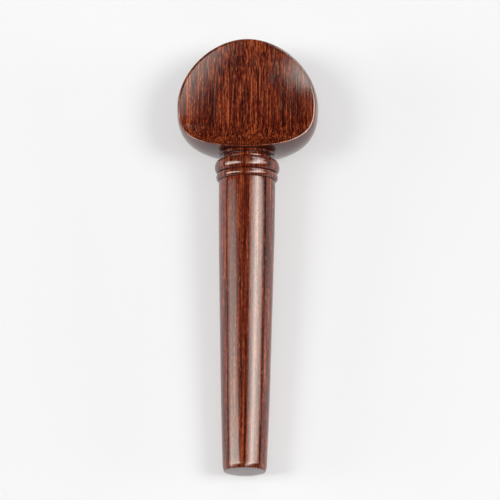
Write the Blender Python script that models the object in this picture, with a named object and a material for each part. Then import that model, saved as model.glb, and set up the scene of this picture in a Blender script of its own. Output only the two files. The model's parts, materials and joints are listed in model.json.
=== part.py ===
"""Cello tuning peg of rosewood, lying on a table with its thumb face up.

The peg is drawn upright about its own turning axis: local +Z runs from the tail
of the shaft to the crown of the head, and the two thumb faces look along local
-Y (front) and +Y (back). An empty on that axis then lays the peg down along
world +Y, resting on its tail edge and on the lower rim of the head.
"""
from math import acos, atan2, cos, pi, radians, sin, sqrt

import bmesh
import bpy
from mathutils import Vector

MM = 0.001

# Play left between two pieces that touch on the real peg.
GAP = 0.3 * MM

# Shaft: heights are distances from the tail face along the turning axis.
TAIL_FACE_RADIUS = 5.0 * MM
TAIL_CHAMFER_HEIGHT = 1.1 * MM
TAIL_RADIUS = 5.27 * MM
SHOULDER_RADIUS = 6.78 * MM
SHOULDER_HEIGHT = 71.1 * MM
SHAFT_BELLY = 0.235 * MM
TENON_RADIUS = 3.2 * MM
TENON_TOP = 80.0 * MM
TENON_CHAMFER = 0.5 * MM
BORE_RADIUS = TENON_RADIUS + GAP

# Small collar ring, next to the shaft.
SMALL_RING_BOTTOM = SHOULDER_HEIGHT + GAP
SMALL_RING_BOTTOM_RADIUS = 6.85 * MM
SMALL_RING_CREST = 72.25 * MM
SMALL_RING_RADIUS = 7.41 * MM
SMALL_RING_TOP = 73.0 * MM
SMALL_RING_TOP_RADIUS = 6.9 * MM

# Large collar ring, under the neck of the head.
LARGE_RING_BOTTOM = SMALL_RING_TOP + GAP
LARGE_RING_BOTTOM_RADIUS = 7.0 * MM
LARGE_RING_CREST = 74.65 * MM
LARGE_RING_RADIUS = 7.8 * MM
LARGE_RING_TOP = 76.25 * MM
LARGE_RING_TOP_RADIUS = 6.4 * MM

# Neck bead of the head, and the small turned step between it and the underside.
NECK_BOTTOM = LARGE_RING_TOP + GAP
BEAD_CENTRE_RADIUS = 5.34 * MM
BEAD_BULGE = 0.5 * MM
BEAD_HALF_HEIGHT = 0.4 * MM
NECK_STEP_RADIUS = 6.85 * MM
NECK_STEP_RISE = 0.1 * MM

# Turned outline of the head: two superellipse quarters that meet at its widest
# place, a slightly pointed one up to the crown and a squarer one below.
HEAD_HALF_WIDTH = 17.0 * MM
HEAD_WIDEST = 89.8 * MM
CROWN_RISE = 16.6 * MM
CROWN_POWER = 1.83
UNDERSIDE_DROP = 12.3 * MM
UNDERSIDE_POWER = 2.78
UNDERSIDE_INNER_RADIUS = 7.0 * MM

# Thumb faces: each is ground hollow, tight above the neck and nearly flat
# towards the crown, and a little hollow from side to side as well.
WEB_HALF_THICKNESS = 2.3 * MM
HOLLOW_CENTRE = 86.75 * MM
HOLLOW_RADIUS = 9.15 * MM
CROWN_HOLLOW_RADIUS = 55.0 * MM
CROWN_HOLLOW_REACH = 21.0 * MM
CROSS_HOLLOW_RADIUS = 80.0 * MM
CUTTER_HALF_WIDTH = 19.0 * MM
CUTTER_DEPTH = 24.0 * MM

# How far a cutter starts outside the wood it enters.
CUTTER_LEAD = 1.0 * MM

# Fineness of the round stretches.
HEAD_SEGMENTS = 64
TURNED_SEGMENTS = 48
OUTLINE_STEPS = 12
RING_STEPS = 6
BEAD_STEPS = 8
SHAFT_STEPS = 10
HOLLOW_STEPS = 14
CROWN_HOLLOW_STEPS = 8
CROSS_STEPS = 13
SHARP_ANGLE = radians(35)
MERGE_DISTANCE = 1e-7

ROSEWOOD_HEAD = (0.125, 0.026, 0.009, 1.0)
ROSEWOOD_LARGE_RING = (0.110, 0.022, 0.009, 1.0)
ROSEWOOD_SMALL_RING = (0.118, 0.025, 0.010, 1.0)
ROSEWOOD_SHAFT = (0.132, 0.030, 0.012, 1.0)
POLISHED_ROUGHNESS = 0.25


def clear_scene():
    for old in list(bpy.data.objects):
        bpy.data.objects.remove(old, do_unlink=True)


def polished_wood(name, colour):
    material = bpy.data.materials.new(name)
    material.use_nodes = True
    shader = material.node_tree.nodes["Principled BSDF"]
    shader.inputs["Base Color"].default_value = colour
    shader.inputs["Roughness"].default_value = POLISHED_ROUGHNESS
    shader.inputs["Metallic"].default_value = 0.0
    return material


def add_object(name, bm, material=None):
    """Turn a bmesh into a smooth-shaded object, with its faces looking out."""
    bmesh.ops.remove_doubles(bm, verts=bm.verts, dist=MERGE_DISTANCE)
    bmesh.ops.recalc_face_normals(bm, faces=bm.faces)
    mesh = bpy.data.meshes.new(name)
    bm.to_mesh(mesh)
    bm.free()
    mesh.shade_smooth()
    mesh.set_sharp_from_angle(angle=SHARP_ANGLE)
    obj = bpy.data.objects.new(name, mesh)
    bpy.context.scene.collection.objects.link(obj)
    if material:
        mesh.materials.append(material)
    return obj


def turned(outline, segments, closed=False):
    """Spin an outline of (radius, height) points about the turning axis."""
    bm = bmesh.new()
    verts = [bm.verts.new((radius, 0.0, height)) for radius, height in outline]
    edges = [bm.edges.new(pair) for pair in zip(verts, verts[1:])]
    if closed:
        edges.append(bm.edges.new((verts[-1], verts[0])))
    bmesh.ops.spin(
        bm,
        geom=verts + edges,
        axis=(0.0, 0.0, 1.0),
        cent=(0.0, 0.0, 0.0),
        angle=2 * pi,
        steps=segments,
        use_merge=True,
    )
    return bm


def arc(centre, radii, start, end, steps):
    """Points of an elliptic arc, ends included; the angle is 0 along the radius."""
    points = []
    for step in range(steps + 1):
        angle = start + (end - start) * step / steps
        points.append((centre[0] + radii[0] * cos(angle), centre[1] + radii[1] * sin(angle)))
    return points


def shaft_radius(height):
    """Straight taper with the slight belly that hand polishing leaves."""
    share = (height - TAIL_CHAMFER_HEIGHT) / (SHOULDER_HEIGHT - TAIL_CHAMFER_HEIGHT)
    taper = TAIL_RADIUS + (SHOULDER_RADIUS - TAIL_RADIUS) * share
    return taper + SHAFT_BELLY * (1 - (2 * share - 1) ** 4)


def taper_outline():
    """(radius, height) points from the chamfer to the shoulder, closest at the ends."""
    points = []
    for step in range(SHAFT_STEPS + 1):
        share = (1 - cos(pi * step / SHAFT_STEPS)) / 2
        height = TAIL_CHAMFER_HEIGHT + (SHOULDER_HEIGHT - TAIL_CHAMFER_HEIGHT) * share
        points.append((shaft_radius(height), height))
    return points


def make_tapered_shaft():
    """Shaft with its chamfered tail, and the tenon that carries rings and head."""
    outline = [(0.0, 0.0), (TAIL_FACE_RADIUS, 0.0)]
    outline += taper_outline()
    outline += [
        (TENON_RADIUS, SHOULDER_HEIGHT),
        (TENON_RADIUS, TENON_TOP - TENON_CHAMFER),
        (TENON_RADIUS - TENON_CHAMFER, TENON_TOP),
        (0.0, TENON_TOP),
    ]
    return add_object(
        "tapered_shaft",
        turned(outline, TURNED_SEGMENTS),
        polished_wood("rosewood_shaft", ROSEWOOD_SHAFT),
    )


def make_ring(name, bottom, crest, top, colour):
    """Turned collar ring; bottom, crest and top are (radius, height) points."""
    lower_centre = (bottom[0], crest[1])
    upper_centre = (top[0], crest[1])
    lower_radii = (crest[0] - bottom[0], crest[1] - bottom[1])
    upper_radii = (crest[0] - top[0], top[1] - crest[1])
    outline = [(BORE_RADIUS, bottom[1])]
    outline += arc(lower_centre, lower_radii, -pi / 2, 0.0, RING_STEPS)
    outline += arc(upper_centre, upper_radii, 0.0, pi / 2, RING_STEPS)[1:]
    outline.append((BORE_RADIUS, top[1]))
    return add_object(
        name,
        turned(outline, TURNED_SEGMENTS, closed=True),
        polished_wood(f"rosewood_{name}", colour),
    )


def make_collar_small_ring():
    return make_ring(
        "collar_small_ring",
        (SMALL_RING_BOTTOM_RADIUS, SMALL_RING_BOTTOM),
        (SMALL_RING_RADIUS, SMALL_RING_CREST),
        (SMALL_RING_TOP_RADIUS, SMALL_RING_TOP),
        ROSEWOOD_SMALL_RING,
    )


def make_collar_large_ring():
    return make_ring(
        "collar_large_ring",
        (LARGE_RING_BOTTOM_RADIUS, LARGE_RING_BOTTOM),
        (LARGE_RING_RADIUS, LARGE_RING_CREST),
        (LARGE_RING_TOP_RADIUS, LARGE_RING_TOP),
        ROSEWOOD_LARGE_RING,
    )


def head_quarter(rise, power, start, end):
    """Superellipse points from the angle start to end; the angle is 0 at the widest place."""
    points = []
    for step in range(OUTLINE_STEPS + 1):
        angle = start + (end - start) * step / OUTLINE_STEPS
        radius = HEAD_HALF_WIDTH * cos(angle) ** (2 / power)
        points.append((radius, HEAD_WIDEST + rise * sin(angle) ** (2 / power)))
    return points


def head_outline():
    """Turned outline of the head, from the foot of the neck to the crown."""
    bead_centre = (BEAD_CENTRE_RADIUS, NECK_BOTTOM + BEAD_HALF_HEIGHT)
    bead_radii = (BEAD_BULGE, BEAD_HALF_HEIGHT)
    bead_top = NECK_BOTTOM + 2 * BEAD_HALF_HEIGHT
    outline = [(0.0, NECK_BOTTOM)]
    outline += arc(bead_centre, bead_radii, -pi / 2, pi / 2, BEAD_STEPS)
    outline.append((NECK_STEP_RADIUS, bead_top + NECK_STEP_RISE))
    inner_share = (UNDERSIDE_INNER_RADIUS / HEAD_HALF_WIDTH) ** (UNDERSIDE_POWER / 2)
    outline += head_quarter(-UNDERSIDE_DROP, UNDERSIDE_POWER, acos(inner_share), 0.0)
    outline += head_quarter(CROWN_RISE, CROWN_POWER, 0.0, pi / 2)[1:-1]
    outline.append((0.0, HEAD_WIDEST + CROWN_RISE))
    return outline


def hollow_outline(sag):
    """Side view of the grinding drum's path as (depth, height) points.

    Depth is the distance from the middle plane of the head, and sag is how
    much the hollow has risen at this place across the face.
    """
    foot = (WEB_HALF_THICKNESS + HOLLOW_RADIUS, HOLLOW_CENTRE)
    crown = (WEB_HALF_THICKNESS + CROWN_HOLLOW_RADIUS, HOLLOW_CENTRE)
    foot_radius = HOLLOW_RADIUS - sag
    crown_radius = CROWN_HOLLOW_RADIUS - sag
    crown_end = pi - atan2(CROWN_HOLLOW_REACH, CROWN_HOLLOW_RADIUS)
    points = [(CUTTER_DEPTH, HOLLOW_CENTRE - foot_radius)]
    points += arc(foot, (foot_radius, foot_radius), 1.5 * pi, pi, HOLLOW_STEPS)
    points += arc(crown, (crown_radius, crown_radius), pi, crown_end, CROWN_HOLLOW_STEPS)[1:]
    points.append((CUTTER_DEPTH, points[-1][1]))
    return points


def make_hollow_cutter(name, turn):
    """Solid of everything above one thumb face, lofted from side to side."""
    bm = bmesh.new()
    sections = []
    for step in range(CROSS_STEPS + 1):
        x = CUTTER_HALF_WIDTH * (2 * step / CROSS_STEPS - 1)
        sag = CROSS_HOLLOW_RADIUS - sqrt(CROSS_HOLLOW_RADIUS ** 2 - x ** 2)
        sections.append([bm.verts.new((x, -depth, height)) for depth, height in hollow_outline(sag)])
    for left, right in zip(sections, sections[1:]):
        for i in range(len(left)):
            bm.faces.new((left[i - 1], left[i], right[i], right[i - 1]))
    bm.faces.new(sections[0])
    bm.faces.new(sections[-1])
    cutter = add_object(name, bm)
    cutter.rotation_euler = (0.0, 0.0, turn)
    return cutter


def make_socket_cutter():
    """Blind bore in the head for the shaft's tenon."""
    outline = [
        (0.0, NECK_BOTTOM - CUTTER_LEAD),
        (BORE_RADIUS, NECK_BOTTOM - CUTTER_LEAD),
        (BORE_RADIUS, TENON_TOP + GAP),
        (0.0, TENON_TOP + GAP),
    ]
    return add_object("socket_cutter", turned(outline, TURNED_SEGMENTS))


def subtract(obj, cutter):
    cutter.hide_render = True
    cutter.display_type = "WIRE"
    modifier = obj.modifiers.new(cutter.name, "BOOLEAN")
    modifier.operation = "DIFFERENCE"
    modifier.object = cutter


def make_thumb_head():
    """Turned head with its neck bead, two ground thumb faces and the socket."""
    head = add_object(
        "thumb_head",
        turned(head_outline(), HEAD_SEGMENTS),
        polished_wood("rosewood_head", ROSEWOOD_HEAD),
    )
    cutters = [
        make_hollow_cutter("front_hollow_cutter", 0.0),
        make_hollow_cutter("back_hollow_cutter", pi),
        make_socket_cutter(),
    ]
    for cutter in cutters:
        subtract(head, cutter)
    return head, cutters


def world_corners(parts):
    """Every corner of the finished parts, in world space."""
    bpy.context.view_layer.update()
    graph = bpy.context.evaluated_depsgraph_get()
    corners = []
    for part in parts:
        final = part.evaluated_get(graph)
        corners += [final.matrix_world @ vertex.co for vertex in final.data.vertices]
    return corners


def resting_pitch(head):
    """Angle between the peg's axis and the table that shaft and head both touch."""
    shaft = taper_outline()
    slope = max(
        min((corner.y - radius) / (corner.z - height) for radius, height in shaft)
        for corner in world_corners([head])
    )
    return atan2(slope, 1.0)


def lay_down(axis, head, parts):
    """Lay the peg along +Y with its thumb face up and its box's foot at the origin."""
    axis.rotation_euler = (resting_pitch(head) - pi / 2, 0.0, 0.0)
    corners = world_corners(parts)
    low = Vector(min(corner[i] for corner in corners) for i in range(3))
    high = Vector(max(corner[i] for corner in corners) for i in range(3))
    axis.location = (0.0, -(low.y + high.y) / 2, -low.z)


def main():
    clear_scene()
    axis = bpy.data.objects.new("turning_axis", None)
    bpy.context.scene.collection.objects.link(axis)
    head, cutters = make_thumb_head()
    parts = [
        make_tapered_shaft(),
        make_collar_small_ring(),
        make_collar_large_ring(),
        head,
    ]
    for obj in parts + cutters:
        obj.parent = axis
    lay_down(axis, head, parts)


main()
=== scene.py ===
import json
from math import cos, pi, radians, sin, sqrt, tan

import bpy
import numpy as np
from mathutils import Matrix, Vector


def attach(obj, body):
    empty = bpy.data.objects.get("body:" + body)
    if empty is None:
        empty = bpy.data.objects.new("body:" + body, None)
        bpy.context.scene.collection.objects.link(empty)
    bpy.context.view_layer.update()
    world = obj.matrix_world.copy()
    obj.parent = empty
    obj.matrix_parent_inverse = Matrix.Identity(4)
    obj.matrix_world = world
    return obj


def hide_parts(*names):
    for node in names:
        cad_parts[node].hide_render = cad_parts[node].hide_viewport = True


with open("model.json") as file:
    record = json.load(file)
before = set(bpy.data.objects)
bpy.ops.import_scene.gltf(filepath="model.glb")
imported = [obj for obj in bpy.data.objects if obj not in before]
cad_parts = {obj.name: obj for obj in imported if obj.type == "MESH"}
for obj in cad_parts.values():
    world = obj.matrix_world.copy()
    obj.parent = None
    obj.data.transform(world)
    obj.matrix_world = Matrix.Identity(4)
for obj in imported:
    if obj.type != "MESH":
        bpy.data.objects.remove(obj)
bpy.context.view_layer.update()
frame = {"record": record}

MM = 0.001

# ---------------------------------------------------------------- the peg's own axis
# Lengths are in millimetres, measured along the turning axis from the tail face.

tail = next(m for m in frame["record"]["mounts"] if m["name"] == "tail_face")
TAIL_CENTRE = Vector(tail["pos_m"])
ALONG = -Vector(tail["axis"]).normalized()
ACROSS = Vector((1.0, 0.0, 0.0))
FACING = ACROSS.cross(ALONG).normalized()
PEG_FRAME = Matrix.Translation(TAIL_CENTRE) @ Matrix((
    (ACROSS.x, -FACING.x, ALONG.x, 0.0),
    (ACROSS.y, -FACING.y, ALONG.y, 0.0),
    (ACROSS.z, -FACING.z, ALONG.z, 0.0),
    (0.0, 0.0, 0.0, 1.0),
))

JOINT_GAP = 0.02

TAIL_FACE_RADIUS = 5.0
TAIL_RADIUS = 5.27
TAIL_CHAMFER = 1.1
SHOULDER_RADIUS = 6.78
TAPER_END = 71.1
SHOULDER = 71.24
SHAFT_BELLY = 0.235
SHAFT_ROWS = 60
TENON_RADIUS = 3.2
TENON_TOP = 80.0
TENON_CHAMFER = 0.5
BORE_RADIUS = TENON_RADIUS + JOINT_GAP
TAIL_ROUNDING = 0.2
CHAMFER_ROUNDING = 0.3
SHOULDER_ROUNDING = 0.15

# Collar rings, each as (radius, height) at its bottom, its crest and its top.
SMALL_RING = ((6.8, 71.26), (7.41, 72.16), (6.9, 73.13))
LARGE_RING = ((7.0, 73.15), (7.8, 74.65), (6.4, 76.38))
RING_STEPS = 12
CREST_WEAR_POWER = 6

NECK_BOTTOM = 76.40
BEAD_RADIUS = 5.84
BEAD_TOP = 77.40
BEAD_MIDDLE = 76.68
BEAD_BULGE = 0.42
NECK_FLAT_RADIUS = 6.85
NECK_FLAT = 77.47
BEAD_ROWS = 16
BEAD_STOP = 0.01
TOOL_OVERLAP = 1.0

HEAD_HALF_WIDTH = 17.0
HEAD_WIDEST = 89.8
CROWN_RISE = 16.6
CROWN_POWER = 1.83
UNDERSIDE_DROP = 12.3
UNDERSIDE_POWER = 2.78
UNDERSIDE_INNER_RADIUS = 6.9

WEB_HALF_THICKNESS = 2.3
HOLLOW_CENTRE = 86.75
HOLLOW_RADIUS = 9.15
CROWN_HOLLOW_RADIUS = 55.0
CROSS_HOLLOW_RADIUS = 80.0
RIM_BEVEL = 0.42
RIM_SUPPORT = 0.07
RIM_ROUNDING = 0.35
HEAD_CENTRE = 90.0
SPOKES = 256
LONGEST_SPOKE = 30.0
FACE_RINGS = 30
FACE_SAMPLES = 400
BEVEL_STEPS = 5
SIDE_RINGS = 24

TURNED_SEGMENTS = 192
SOCKET_SEGMENTS = 96
ROUNDING_STEPS = 5
LONGEST_ROUNDING = 0.45
SHARP_ANGLE = radians(38)


# ---------------------------------------------------------------- mesh helpers

def make_object(name, points, faces, edge_wear):
    """An object in the peg's frame, from points in millimetres."""
    mesh = bpy.data.meshes.new(name)
    mesh.from_pydata([PEG_FRAME @ (Vector(p) * MM) for p in points], [], faces)
    mesh.validate()
    wear = mesh.attributes.new("edge_wear", "FLOAT", "POINT")
    wear.data.foreach_set("value", np.asarray(edge_wear, np.float32))
    mesh.shade_smooth()
    mesh.set_sharp_from_angle(angle=SHARP_ANGLE)
    obj = bpy.data.objects.new(name, mesh)
    bpy.context.scene.collection.objects.link(obj)
    return obj


def lathe(name, profile, wear, segments=TURNED_SEGMENTS, closed=False):
    """Spin (radius, height) points about the axis; a radius of 0 makes a pole."""
    points, rings = [], []
    for radius, height in profile:
        if radius == 0.0:
            rings.append([len(points)])
            points.append((0.0, 0.0, height))
            continue
        rings.append(list(range(len(points), len(points) + segments)))
        for i in range(segments):
            angle = 2 * pi * i / segments
            points.append((radius * cos(angle), radius * sin(angle), height))
    worn = []
    for ring, value in zip(rings, wear):
        worn += [value] * len(ring)
    faces = []
    pairs = list(zip(rings, rings[1:]))
    if closed:
        pairs.append((rings[-1], rings[0]))
    for low, high in pairs:
        for i in range(segments):
            j = (i + 1) % segments
            if len(low) == 1:
                faces.append((low[0], high[j], high[i]))
            elif len(high) == 1:
                faces.append((low[i], low[j], high[0]))
            else:
                faces.append((low[i], low[j], high[j], high[i]))
    return make_object(name, points, faces, worn)


def rounded(corners, radii):
    """Outline through corners, each rounded by its own radius, with an edge-wear value.

    A rounding takes up LONGEST_ROUNDING of the shorter side beside it at the most."""
    points = [corners[0]]
    wear = [0.0]
    for before, corner, after, radius in zip(corners, corners[1:], corners[2:], radii):
        if radius == 0.0:
            points.append(corner)
            wear.append(0.0)
            continue
        here = Vector(corner)
        back = Vector(before) - here
        ahead = Vector(after) - here
        reach = min(radius, back.length * LONGEST_ROUNDING, ahead.length * LONGEST_ROUNDING)
        start = here + back.normalized() * reach
        end = here + ahead.normalized() * reach
        for i in range(ROUNDING_STEPS + 1):
            t = i / ROUNDING_STEPS
            p = start * (1 - t) ** 2 + here * 2 * t * (1 - t) + end * t ** 2
            points.append((p.x, p.y))
            wear.append(4 * t * (1 - t))
    points.append(corners[-1])
    wear.append(0.0)
    return points, wear


# ---------------------------------------------------------------- turned pieces

def shaft_radius(height):
    share = (height - TAIL_CHAMFER) / (TAPER_END - TAIL_CHAMFER)
    taper = TAIL_RADIUS + (SHOULDER_RADIUS - TAIL_RADIUS) * share
    return taper + SHAFT_BELLY * (1 - (2 * share - 1) ** 4)


def make_shaft():
    heights = np.linspace(TAIL_CHAMFER, SHOULDER, SHAFT_ROWS)
    body = [(shaft_radius(height), height) for height in heights]
    tenon = [
        (TENON_RADIUS, SHOULDER),
        (TENON_RADIUS, TENON_TOP - TENON_CHAMFER),
        (TENON_RADIUS - TENON_CHAMFER, TENON_TOP),
    ]
    corners = [(0.0, 0.0), (TAIL_FACE_RADIUS, 0.0)] + body + tenon + [(0.0, TENON_TOP)]
    radii = [TAIL_ROUNDING, CHAMFER_ROUNDING] + [0.0] * (len(body) - 2)
    radii += [SHOULDER_ROUNDING] + [0.0] * len(tenon)
    profile, wear = rounded(corners, radii)
    return lathe("peg_shaft", profile, wear)


def make_ring(name, sizes):
    """Collar ring bored for the tenon, its outline two elliptic quarters that meet at the crest."""
    bottom, crest, top = sizes
    profile = [(BORE_RADIUS, bottom[1])]
    wear = [0.0]
    for i in range(2 * RING_STEPS + 1):
        angle = pi / 2 * (i / RING_STEPS - 1)
        foot = bottom if angle < 0 else top
        radius = foot[0] + (crest[0] - foot[0]) * cos(angle)
        profile.append((radius, crest[1] + abs(foot[1] - crest[1]) * sin(angle)))
        wear.append(cos(angle) ** CREST_WEAR_POWER)
    profile.append((BORE_RADIUS, top[1]))
    wear.append(0.0)
    return lathe(name, profile, wear, closed=True)


# ---------------------------------------------------------------- thumb head

def head_radius(height):
    """Radius of the head's turned outline at each height."""
    above = np.clip((height - HEAD_WIDEST) / CROWN_RISE, 0, 1)
    crown = HEAD_HALF_WIDTH * (1 - above ** CROWN_POWER) ** (1 / CROWN_POWER)
    below = np.clip((HEAD_WIDEST - height) / UNDERSIDE_DROP, 0, 1)
    under = HEAD_HALF_WIDTH * (1 - below ** UNDERSIDE_POWER) ** (1 / UNDERSIDE_POWER)
    share = (UNDERSIDE_INNER_RADIUS / HEAD_HALF_WIDTH) ** UNDERSIDE_POWER
    inner = HEAD_WIDEST - UNDERSIDE_DROP * (1 - share) ** (1 / UNDERSIDE_POWER)
    slope = (UNDERSIDE_INNER_RADIUS - NECK_FLAT_RADIUS) / (inner - NECK_FLAT)
    flat = NECK_FLAT_RADIUS + (height - NECK_FLAT) * slope
    under = np.where(height < inner, flat, under)
    under = np.where(height < NECK_FLAT, 0.0, under)
    radius = np.where(height > HEAD_WIDEST, crown, under)
    return np.where(height > HEAD_WIDEST + CROWN_RISE, 0.0, radius)


def face_depth(x, height):
    """How far the thumb face stands in front of the head's middle plane."""
    sag = CROSS_HOLLOW_RADIUS - np.sqrt(CROSS_HOLLOW_RADIUS ** 2 - x ** 2)
    rise = height - HOLLOW_CENTRE
    radius = np.where(rise < 0, HOLLOW_RADIUS, CROWN_HOLLOW_RADIUS)
    inside = np.maximum((radius - sag) ** 2 - rise ** 2, 0.0)
    return WEB_HALF_THICKNESS + radius - np.sqrt(inside)


def solve(function, low, high, rounds=60):
    """Where function crosses zero from below, between low and high, for arrays."""
    for _ in range(rounds):
        middle = (low + high) / 2
        inside = function(middle) < 0
        low = np.where(inside, middle, low)
        high = np.where(inside, high, middle)
    return (low + high) / 2


spoke_angle = np.linspace(0, 2 * pi, SPOKES, endpoint=False) - pi / 2
SPOKE_X = np.cos(spoke_angle)
SPOKE_Z = np.sin(spoke_angle)


def spoke_points(reach, depth):
    """The points at a reach out along each spoke and a depth off the head's middle plane."""
    return np.stack([reach * SPOKE_X, depth, HEAD_CENTRE + reach * SPOKE_Z], 1)


def face_depth_at(reach):
    return face_depth(reach * SPOKE_X, HEAD_CENTRE + reach * SPOKE_Z)


def reach_to_outline(depth_at):
    """How far out each spoke meets the turned outline, where depth_at gives its depth."""
    def past_outline(reach):
        turned_radius = head_radius(HEAD_CENTRE + reach * SPOKE_Z)
        return np.hypot(reach * SPOKE_X, depth_at(reach)) - turned_radius

    return solve(past_outline, 0 * SPOKE_X, 0 * SPOKE_X + LONGEST_SPOKE)


def face_rows(rim):
    """Rows on the thumb face, evenly spaced from near its middle to the start of the bevel."""
    fine = np.linspace(0, 1, FACE_SAMPLES)[:, None] * rim
    step = np.hypot(np.diff(fine, axis=0), np.diff(face_depth_at(fine), axis=0))
    walked = np.vstack([0 * rim, np.cumsum(step, axis=0)])
    last = walked[-1] - RIM_BEVEL
    places = [(last - RIM_SUPPORT) * i / FACE_RINGS for i in range(1, FACE_RINGS + 1)] + [last]
    rows = []
    for place in places:
        reach = np.array([np.interp(place[k], walked[:, k], fine[:, k]) for k in range(SPOKES)])
        rows.append(spoke_points(reach, face_depth_at(reach)))
    return rows


def side_row(depth):
    """Row on the turned outline at a depth off the middle plane."""
    return spoke_points(reach_to_outline(lambda reach: depth), depth)


def half_head_rows():
    """Rows from the front face over its bevelled rim to mid-thickness, with their wear."""
    rim = reach_to_outline(face_depth_at)
    rim_depth = face_depth_at(rim)
    rows = face_rows(rim)
    wear = [0.0] * len(rows)
    side_depth = rim_depth - RIM_BEVEL
    start = rows[-1]
    end = side_row(side_depth)
    corner = spoke_points(rim, rim_depth)
    crest = (start + end) / 2 * (1 - RIM_ROUNDING) + corner * RIM_ROUNDING
    for i in range(1, BEVEL_STEPS + 1):
        t = i / (BEVEL_STEPS + 1)
        rows.append(start * (1 - t) ** 2 + crest * 2 * t * (1 - t) + end * t ** 2)
        wear.append(4 * t * (1 - t))
    for i in range(SIDE_RINGS + 1):
        rows.append(side_row(side_depth * cos(pi / 2 * i / SIDE_RINGS)))
        wear.append(0.0)
    return rows, wear


def make_dished_head():
    """The head without its neck, its back half a mirror image of the front one."""
    rows, row_wear = half_head_rows()
    rows = [row * np.array([1, -1, 1]) for row in rows] + rows[-2::-1]
    row_wear += row_wear[-2::-1]
    middle = float(face_depth(np.array(0.0), np.array(HEAD_CENTRE)))
    points = [(0.0, -middle, HEAD_CENTRE)]
    wear = [0.0]
    for row, value in zip(rows, row_wear):
        points += [tuple(point) for point in row]
        wear += [value] * SPOKES
    points.append((0.0, middle, HEAD_CENTRE))
    wear.append(0.0)
    last = 1 + (len(rows) - 1) * SPOKES
    faces = []
    for i in range(SPOKES):
        j = (i + 1) % SPOKES
        faces.append((0, 1 + i, 1 + j))
        for a in range(1, last, SPOKES):
            b = a + SPOKES
            faces.append((a + i, b + i, b + j, a + j))
        faces.append((last + i, len(points) - 1, last + j))
    return make_object("peg_head", points, faces, wear)


def boolean(target, other, operation):
    modifier = target.modifiers.new(operation, "BOOLEAN")
    modifier.operation = operation
    modifier.solver = "EXACT"
    modifier.object = other
    bpy.context.view_layer.update()
    graph = bpy.context.evaluated_depsgraph_get()
    mesh = bpy.data.meshes.new_from_object(target.evaluated_get(graph))
    target.modifiers.clear()
    target.data = mesh
    bpy.data.objects.remove(other, do_unlink=True)


def neck_outline():
    """Outline of the neck bead, with a stub that runs up into the head."""
    inner = BEAD_RADIUS - BEAD_BULGE
    half = BEAD_TOP - BEAD_MIDDLE
    outline = [(0.0, NECK_BOTTOM)]
    for height in np.linspace(NECK_BOTTOM, BEAD_TOP - BEAD_STOP, BEAD_ROWS):
        bulge = sqrt(1 - ((height - BEAD_MIDDLE) / half) ** 2)
        outline.append((inner + BEAD_BULGE * bulge, height))
    return outline + [(inner, NECK_FLAT + TOOL_OVERLAP), (0.0, NECK_FLAT + TOOL_OVERLAP)]


def socket_outline():
    low = NECK_BOTTOM - TOOL_OVERLAP
    high = TENON_TOP + JOINT_GAP
    return [(0.0, low), (BORE_RADIUS, low), (BORE_RADIUS, high), (0.0, high)]


def make_head():
    head = make_dished_head()
    outline = neck_outline()
    boolean(head, lathe("neck_tool", outline, [0.0] * len(outline)), "UNION")
    outline = socket_outline()
    socket = lathe("socket_tool", outline, [0.0] * len(outline), segments=SOCKET_SEGMENTS)
    boolean(head, socket, "DIFFERENCE")
    head.data.shade_smooth()
    head.data.set_sharp_from_angle(angle=SHARP_ANGLE)
    return head


# ---------------------------------------------------------------- material

def rgb(r, g, b):
    return (r, g, b, 1.0)


# Each layer of the grain: features per millimetre across and along the peg, and where its
# noise starts. Depth is the share of across that runs from face to face.
BANDS = {"across": 0.22, "along": 0.008, "shift": (3.7, 6.0, 0.0), "detail": 3.0, "depth": 1.0}
STREAKS = {"across": 1.8, "along": 0.030, "shift": (11.0, 5.0, 2.0), "rough": 0.6}
FIBRES = {"across": 4.0, "along": 0.060, "shift": (1.0, 9.0, 4.0), "detail": 1.0, "rough": 0.6}
SPECKS = {"across": 4.4, "along": 1.00, "shift": (5.0, 3.0, 7.0), "detail": 1.0}
PORES = {"across": 2.6, "along": 0.10, "shift": (7.0, 2.0, 8.0)}
DASHES = {"across": 3.4, "along": 0.40, "shift": (2.0, 13.0, 6.0), "detail": 1.0}
LATHE_MARKS = {"across": 0.02, "along": 3.6, "shift": (0.0, 0.0, 3.0)}

BAND_SHARE = 0.16
STREAK_SHARE = 0.24
FIBRE_SHARE = 0.36
SPECK_SHARE = 0.24
TURNED_CONTRAST = 0.75
FACE_CONTRAST = 0.95
WOOD_TONES = [
    (0.42, rgb(0.024, 0.0020, 0.0008)),
    (0.465, rgb(0.070, 0.0066, 0.0020)),
    (0.50, rgb(0.116, 0.0130, 0.0038)),
    (0.535, rgb(0.182, 0.0270, 0.0078)),
    (0.59, rgb(0.400, 0.0880, 0.0230)),
]

# Where each mark starts and is full in its noise, how strongly it tints, and its colour.
PORE_RANGE = (0.57, 0.67)
PORE_TINT = 0.75
PORE_COLOUR = rgb(0.018, 0.004, 0.003)
DASH_RANGE = (0.64, 0.73)
DASH_TINT = 0.4
DASH_COLOUR = rgb(0.42, 0.15, 0.06)
RUB_RANGE = (0.3, 0.7)
RUB_TINT = 0.2
RUB_COLOUR = rgb(0.36, 0.14, 0.07)
# Darkened where the surface leans along the peg and isn't part of a thumb face: partly real end
# grain, partly painted shade in the grooves, on the ring flanks and under the head.
END_GRAIN_SHADE_LEAN = (0.35, 0.80)
END_GRAIN_SHADE_FACE = (0.60, 0.35)
END_GRAIN_SHADE_TINT = 0.85
END_GRAIN_SHADE_COLOUR = rgb(0.062, 0.0095, 0.0045)

POLISH_ROUGHNESS = 0.09
FIBRE_ROUGHNESS = 0.08
PORE_ROUGHNESS = 0.06
VARNISH_IOR = 1.6
FIBRE_RELIEF = 0.25
PORE_RELIEF = 0.6
LATHE_RELIEF = 0.45
BUMP_STRENGTH = 0.3
BUMP_HEIGHT = 0.02


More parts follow.
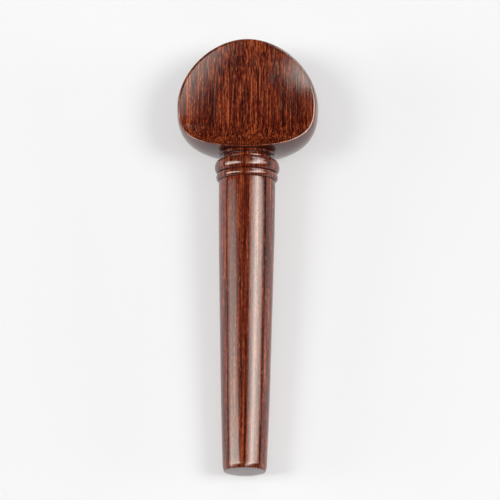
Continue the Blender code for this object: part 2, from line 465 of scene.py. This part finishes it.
class Nodes:
    """Short hand for building the node tree of a material or a light."""

    def __init__(self, owner):
        owner.use_nodes = True
        self.tree = owner.node_tree

    def add(self, kind, inputs=None, **settings):
        node = self.tree.nodes.new("ShaderNode" + kind)
        for key, value in settings.items():
            setattr(node, key, value)
        for key, value in (inputs or {}).items():
            self.put(node.inputs[key], value)
        return node

    def put(self, socket, value):
        if isinstance(value, bpy.types.NodeSocket):
            self.tree.links.new(value, socket)
        else:
            socket.default_value = value

    def object_coords(self):
        return self.add("TexCoord").outputs["Object"]

    def peg_coords(self):
        """Object coordinates turned into the peg's own frame, Z along its axis."""
        place = self.add("Mapping", {"Vector": self.object_coords()}, vector_type="TEXTURE")
        place.inputs["Location"].default_value = PEG_FRAME.translation
        place.inputs["Rotation"].default_value = PEG_FRAME.to_euler()
        return place.outputs[0]

    def math(self, operation, a, b):
        node = self.add("Math", operation=operation)
        self.put(node.inputs[0], a)
        self.put(node.inputs[1], b)
        return node.outputs[0]

    def weighted_sum(self, *parts):
        """Sum of the (value, share) parts."""
        total = 0.0
        for value, share in parts:
            total = self.math("ADD", total, self.math("MULTIPLY", value, share))
        return total

    def dot(self, vector, direction):
        product = self.add("VectorMath", {0: vector}, operation="DOT_PRODUCT")
        product.inputs[1].default_value = direction
        return product.outputs["Value"]

    def mix(self, factor, a, b):
        node = self.add("Mix", data_type="RGBA")
        self.put(node.inputs[0], factor)
        self.put(node.inputs[6], a)
        self.put(node.inputs[7], b)
        return node.outputs[2]

    def ramp(self, value, stops):
        node = self.add("ValToRGB", {"Fac": value})
        while len(node.color_ramp.elements) < len(stops):
            node.color_ramp.elements.new(0.5)
        for element, (position, colour) in zip(node.color_ramp.elements, stops):
            element.position = position
            element.color = colour
        return node.outputs["Color"]

    def threshold(self, value, start, full):
        """Smooth step from 0 at start to 1 at full, in either direction."""
        node = self.add("MapRange", {"Value": value, "From Min": start, "From Max": full})
        node.interpolation_type = "SMOOTHSTEP"
        return node.outputs[0]

    def leaning(self, direction):
        """How far the surface faces along a direction, either way, from 0 to 1."""
        normal = self.add("NewGeometry").outputs["Normal"]
        return self.math("ABSOLUTE", self.dot(normal, direction), 0.0)

    def grain(self, coords, across, along, shift, detail=2.0, rough=0.5, depth=0.35):
        """Noise stretched along the Z of the coordinates."""
        place = self.add("Mapping", {"Vector": coords})
        place.inputs["Location"].default_value = shift
        place.inputs["Scale"].default_value = (across / MM, across * depth / MM, along / MM)
        inputs = {"Vector": place.outputs[0], "Scale": 1.0, "Detail": detail, "Roughness": rough}
        return self.add("TexNoise", inputs).outputs["Fac"]


def wood_tone(n, coords, fibres, contrast):
    """Plain wood colour from the layers of its grain."""
    tone = n.weighted_sum(
        (n.grain(coords, **BANDS), BAND_SHARE),
        (n.grain(coords, **STREAKS), STREAK_SHARE),
        (fibres, FIBRE_SHARE),
        (n.grain(coords, **SPECKS), SPECK_SHARE),
    )
    tone = n.math("ADD", n.math("MULTIPLY", tone, contrast), 0.5 * (1.0 - contrast))
    return n.ramp(tone, WOOD_TONES)


# Mask for the darkening: real end grain plus painted shade on surfaces that face along the axis,
# such as grooves, ring flanks and the head's underside.
def end_grain_and_painted_shade(n):
    leaning = n.threshold(n.leaning(ALONG), *END_GRAIN_SHADE_LEAN)
    return n.math("MULTIPLY", leaning, n.threshold(n.leaning(FACING), *END_GRAIN_SHADE_FACE))


def wood_relief(n, coords, fibres, pores, lathe_marks):
    """Fine bumps of the fibres, pores and any lathe marks."""
    height = n.math("MULTIPLY", fibres, FIBRE_RELIEF)
    height = n.math("SUBTRACT", height, n.math("MULTIPLY", pores, PORE_RELIEF))
    if lathe_marks:
        marks = n.math("MULTIPLY", n.grain(coords, **LATHE_MARKS), LATHE_RELIEF)
        height = n.math("ADD", height, marks)
    settings = {"Strength": BUMP_STRENGTH, "Distance": BUMP_HEIGHT * MM, "Height": height}
    return n.add("Bump", settings).outputs["Normal"]


def rosewood(name, lathe_marks, contrast):
    material = bpy.data.materials.new(name)
    n = Nodes(material)
    shader = n.tree.nodes["Principled BSDF"]
    coords = n.peg_coords()
    fibres = n.grain(coords, **FIBRES)
    pores = n.threshold(n.grain(coords, **PORES), *PORE_RANGE)
    dashes = n.threshold(n.grain(coords, **DASHES), *DASH_RANGE)
    worn = n.add("Attribute", attribute_name="edge_wear").outputs["Fac"]
    rubbed = n.math("MULTIPLY", worn, n.threshold(fibres, *RUB_RANGE))
    colour = wood_tone(n, coords, fibres, contrast)
    for mark, tint, mark_colour in (
        (pores, PORE_TINT, PORE_COLOUR),
        (dashes, DASH_TINT, DASH_COLOUR),
        (rubbed, RUB_TINT, RUB_COLOUR),
        # End grain darkening, partly painted shade in the grooves and under the head.
        (end_grain_and_painted_shade(n), END_GRAIN_SHADE_TINT, END_GRAIN_SHADE_COLOUR),
    ):
        colour = n.mix(n.math("MULTIPLY", mark, tint), colour, mark_colour)
    roughness = n.math("ADD", POLISH_ROUGHNESS, n.math("MULTIPLY", fibres, FIBRE_ROUGHNESS))
    roughness = n.math("ADD", roughness, n.math("MULTIPLY", pores, PORE_ROUGHNESS))
    n.put(shader.inputs["Base Color"], colour)
    n.put(shader.inputs["Roughness"], roughness)
    n.put(shader.inputs["Normal"], wood_relief(n, coords, fibres, pores, lathe_marks))
    shader.inputs["IOR"].default_value = VARNISH_IOR
    return material


# ---------------------------------------------------------------- pieces

def finish_piece(piece, node, material):
    piece.data.materials.clear()
    piece.data.materials.append(material)
    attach(piece, "root")
    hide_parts(node)


turned_wood = rosewood("rosewood_turned", True, TURNED_CONTRAST)
face_wood = rosewood("rosewood_face", False, FACE_CONTRAST)
shaft = make_shaft()
small_ring = make_ring("peg_small_ring", SMALL_RING)
large_ring = make_ring("peg_large_ring", LARGE_RING)
head = make_head()
finish_piece(shaft, "tapered_shaft", turned_wood)
finish_piece(small_ring, "collar_small_ring", turned_wood)
finish_piece(large_ring, "collar_large_ring", turned_wood)
finish_piece(head, "thumb_head", face_wood)


# ---------------------------------------------------------------- camera

CAMERA_TILT = radians(13.6)
CAMERA_SIDE = radians(3.5)
CAMERA_ROLL = radians(0.465)
CAMERA_DISTANCE = 1.8
CAMERA_REACH = 20.0
FRAME_WIDTH = 0.120
SENSOR = 36.0
AIM_HEIGHT = 54.33
AIM_SIDE = 0.834

toward_side = FACING * cos(CAMERA_SIDE) + ACROSS * sin(CAMERA_SIDE)
CAMERA_LEVEL = ACROSS * cos(CAMERA_SIDE) - FACING * sin(CAMERA_SIDE)
TO_CAMERA = (toward_side * cos(CAMERA_TILT) - ALONG * sin(CAMERA_TILT)).normalized()
up = (ALONG - TO_CAMERA * ALONG.dot(TO_CAMERA)).normalized()
right = up.cross(TO_CAMERA).normalized()
CAMERA_UP = up * cos(CAMERA_ROLL) - right * sin(CAMERA_ROLL)
CAMERA_RIGHT = CAMERA_UP.cross(TO_CAMERA).normalized()
AIM = TAIL_CENTRE + ALONG * AIM_HEIGHT * MM + CAMERA_RIGHT * AIM_SIDE * MM

camera_data = bpy.data.cameras.new("camera")
camera_data.sensor_width = SENSOR
camera_data.lens = SENSOR * CAMERA_DISTANCE / FRAME_WIDTH
camera_data.clip_end = CAMERA_REACH
camera = bpy.data.objects.new("camera", camera_data)
bpy.context.scene.collection.objects.link(camera)
camera.matrix_world = Matrix.Translation(AIM + TO_CAMERA * CAMERA_DISTANCE) @ Matrix((
    (CAMERA_RIGHT.x, CAMERA_UP.x, TO_CAMERA.x, 0.0),
    (CAMERA_RIGHT.y, CAMERA_UP.y, TO_CAMERA.y, 0.0),
    (CAMERA_RIGHT.z, CAMERA_UP.z, TO_CAMERA.z, 0.0),
    (0.0, 0.0, 0.0, 1.0),
))
bpy.context.scene.camera = camera


# ---------------------------------------------------------------- floor and lights

FLOOR_HALF_WIDTH = 15.0
FLOOR_MOTTLE = {"across": 0.02, "along": 0.02, "shift": (0.0, 0.0, 0.0)}
FLOOR_TONES = [(0.3, rgb(0.55, 0.55, 0.552)), (0.7, rgb(0.57, 0.57, 0.572))]
FLOOR_ROUGHNESS = 0.9
FLOOR_GLOW = 0.34

LIGHT_DISTANCE = 1.0
LIGHT_HEIGHT = 50.0
LIGHT_CENTRE = TAIL_CENTRE + ALONG * LIGHT_HEIGHT * MM

# Level across each softbox, then the factor on it along the box, at places in metres from
# the middle.
RIGHT_ACROSS = [
    (-0.78, 0.0), (-0.70, 0.3), (-0.575, 1.9), (-0.46, 3.75), (-0.355, 5.3), (-0.255, 7.5),
    (-0.16, 10.7), (-0.07, 8.9), (0.033, 6.9), (0.136, 5.6), (0.247, 4.9), (0.373, 2.6),
    (0.525, 0.2), (0.60, 0.0),
]
RIGHT_ALONG = [
    (-1.15, 0.0), (-0.95, 1.2), (-0.15, 1.2), (0.05, 1.0), (0.36, 1.0), (0.50, 0.35), (0.60, 0.0),
]
LEFT_ACROSS = [
    (-0.46, 0.0), (-0.344, 2.8), (-0.21, 4.5), (-0.08, 4.6), (0.15, 4.2), (0.27, 4.2),
    (0.50, 4.4), (0.62, 4.2), (0.72, 3.3), (0.83, 1.5), (0.95, 0.3), (1.02, 0.0),
]
LEFT_ALONG = [
    (-0.34, 0.0), (-0.26, 0.7), (-0.18, 1.7), (0.06, 1.7), (0.12, 1.15), (0.185, 0.72),
    (0.25, 0.45), (0.28, 0.28), (0.34, 0.0),
]
# One corner of each softbox is cut off: the angle of the line to that corner, then the
# distances along it, from the middle, where the light starts to fall and where it ends.
RIGHT_CORNER = (radians(-43.8), 0.13, 0.29)
LEFT_CORNER = (radians(67.6), 0.26, 0.39)
SOFTBOX_COLOUR = (1.0, 0.94, 0.85)
# Watts per square metre of softbox at a level of 1.
SOFTBOX_POWER = 3.5
HIGHEST_LEVEL = 20.0

# Turns are degrees to the right of the camera, the lean is towards the head, and spreads
# are how far a light reaches to either side of its middle, as seen from the peg.
RIGHT_TURN = 44.0
RIGHT_ROLL = radians(27)
LEFT_TURN = -62.0
RIM_PANEL_TURN = 50.0
RIM_PANEL_LEAN = 46.0
RIM_PANEL_SPREAD = 20.0
RIM_PANEL_LEVEL = 3.2
NARROW_SPREAD = 12.0
WIDE_SPREAD = 32.0
# The matt lights as name, turn, spread and irradiance.
FILLS = [
    ("right_side_fill", 78.0, NARROW_SPREAD, 1.0),
    ("left_side_fill", -78.0, NARROW_SPREAD, 1.0),
    ("overhead_fill", 0.0, WIDE_SPREAD, 0.78),
    ("right_fill", 36.0, NARROW_SPREAD, 1.485),
    ("left_fill", -44.0, NARROW_SPREAD, 1.252),
]
AMBIENT = 0.03


def make_floor():
    half = FLOOR_HALF_WIDTH
    mesh = bpy.data.meshes.new("floor")
    corners = [(-half, -half, 0.0), (half, -half, 0.0), (half, half, 0.0), (-half, half, 0.0)]
    mesh.from_pydata(corners, [], [(0, 1, 2, 3)])
    floor = bpy.data.objects.new("floor", mesh)
    bpy.context.scene.collection.objects.link(floor)
    material = bpy.data.materials.new("pale_floor")
    n = Nodes(material)
    shader = n.tree.nodes["Principled BSDF"]
    mottle = n.grain(n.object_coords(), **FLOOR_MOTTLE)
    n.put(shader.inputs["Base Color"], n.ramp(mottle, FLOOR_TONES))
    shader.inputs["Roughness"].default_value = FLOOR_ROUGHNESS
    shader.inputs["Emission Color"].default_value = rgb(1.0, 1.0, 1.0)
    shader.inputs["Emission Strength"].default_value = FLOOR_GLOW
    shader.inputs["Specular IOR Level"].default_value = 0.0
    mesh.materials.append(material)


def turned(angle, lean=0.0):
    """Direction turned to the right of the camera, then leant towards the head."""
    level = toward_side * cos(radians(angle)) + CAMERA_LEVEL * sin(radians(angle))
    return level * cos(radians(lean)) + ALONG * sin(radians(lean))


def place_light(data, direction, roll=0.0):
    """A light that looks back at the peg from a direction, and that no camera sees."""
    light = bpy.data.objects.new(data.name, data)
    bpy.context.scene.collection.objects.link(light)
    lengthwise = (ALONG - direction * ALONG.dot(direction)).normalized()
    sideways = lengthwise.cross(direction).normalized()
    x = sideways * cos(roll) - lengthwise * sin(roll)
    y = lengthwise * cos(roll) + sideways * sin(roll)
    place = Matrix.Translation(LIGHT_CENTRE + direction * LIGHT_DISTANCE)
    light.matrix_world = place @ Matrix((
        (x.x, y.x, direction.x, 0.0),
        (x.y, y.y, direction.y, 0.0),
        (x.z, y.z, direction.z, 0.0),
        (0.0, 0.0, 0.0, 1.0),
    ))
    light.visible_camera = False
    return light


def width_of(profile):
    return 2 * max(abs(place) for place, _ in profile)


def profile_curve(n, spot, profile, width):
    """The profile's level at a spot from 0 to 1 across the width."""
    curve = n.add("FloatCurve", {"Value": spot})
    curve.mapping.clip_max_y = HIGHEST_LEVEL
    curve.mapping.extend = "HORIZONTAL"
    points = curve.mapping.curves[0].points
    while len(points) < len(profile):
        points.new(0.5, 0.5)
    for point, (place, level) in zip(points, profile):
        point.location = (place / width + 0.5, level)
        point.handle_type = "VECTOR"
    curve.mapping.update()
    return curve.outputs[0]


def corner_cut(n, spot, width, length, corner):
    """Share that falls from 1 to 0 towards one corner of a panel."""
    angle, start, end = corner
    reach = Vector((width * cos(angle), length * sin(angle), 0.0))
    middle = (reach.x + reach.y) / 2
    return n.threshold(n.dot(spot, reach), end + middle, start + middle)


def softbox(name, turn, roll, across, along, corner):
    """Soft panel whose level changes over it, seen in the peg's polish only."""
    data = bpy.data.lights.new(name, "AREA")
    data.shape = "RECTANGLE"
    data.size = width_of(across)
    data.size_y = width_of(along)
    data.energy = SOFTBOX_POWER * data.size * data.size_y
    data.color = SOFTBOX_COLOUR
    n = Nodes(data)
    spot = n.add("NewGeometry").outputs["Parametric"]
    places = n.add("SeparateXYZ", {0: spot}).outputs
    across_level = profile_curve(n, places[0], across, data.size)
    along_level = profile_curve(n, places[1], along, data.size_y)
    level = n.math("MULTIPLY", across_level, along_level)
    level = n.math("MULTIPLY", level, corner_cut(n, spot, data.size, data.size_y, corner))
    emission = next(node for node in n.tree.nodes if node.type == "EMISSION")
    n.put(emission.inputs["Strength"], n.math("MAXIMUM", level, 0.0))
    place_light(data, turned(turn), roll).visible_diffuse = False


def rim_panel():
    """Round panel that only the polish of the head's rim shows."""
    data = bpy.data.lights.new("crown_panel", "AREA")
    data.shape = "DISK"
    data.size = 2 * LIGHT_DISTANCE * tan(radians(RIM_PANEL_SPREAD))
    data.energy = RIM_PANEL_LEVEL * pi * data.size ** 2
    place_light(data, turned(RIM_PANEL_TURN, RIM_PANEL_LEAN)).visible_diffuse = False


def fill(name, turn, spread, irradiance):
    """Broad matt light for the floor and the wood itself, not seen in the polish."""
    data = bpy.data.lights.new(name, "SUN")
    data.angle = 2 * radians(spread)
    data.energy = irradiance
    place_light(data, turned(turn)).visible_glossy = False


def make_lights():
    softbox("right_softbox", RIGHT_TURN, RIGHT_ROLL, RIGHT_ACROSS, RIGHT_ALONG, RIGHT_CORNER)
    softbox("left_softbox", LEFT_TURN, 0.0, LEFT_ACROSS, LEFT_ALONG, LEFT_CORNER)
    rim_panel()
    for settings in FILLS:
        fill(*settings)
    world = bpy.data.worlds.new("studio")
    bpy.context.scene.world = world
    world.use_nodes = True
    background = world.node_tree.nodes["Background"]
    background.inputs["Color"].default_value = rgb(1.0, 1.0, 1.0)
    background.inputs["Strength"].default_value = AMBIENT


make_floor()
make_lights()
bpy.context.scene.view_settings.view_transform = "Standard"
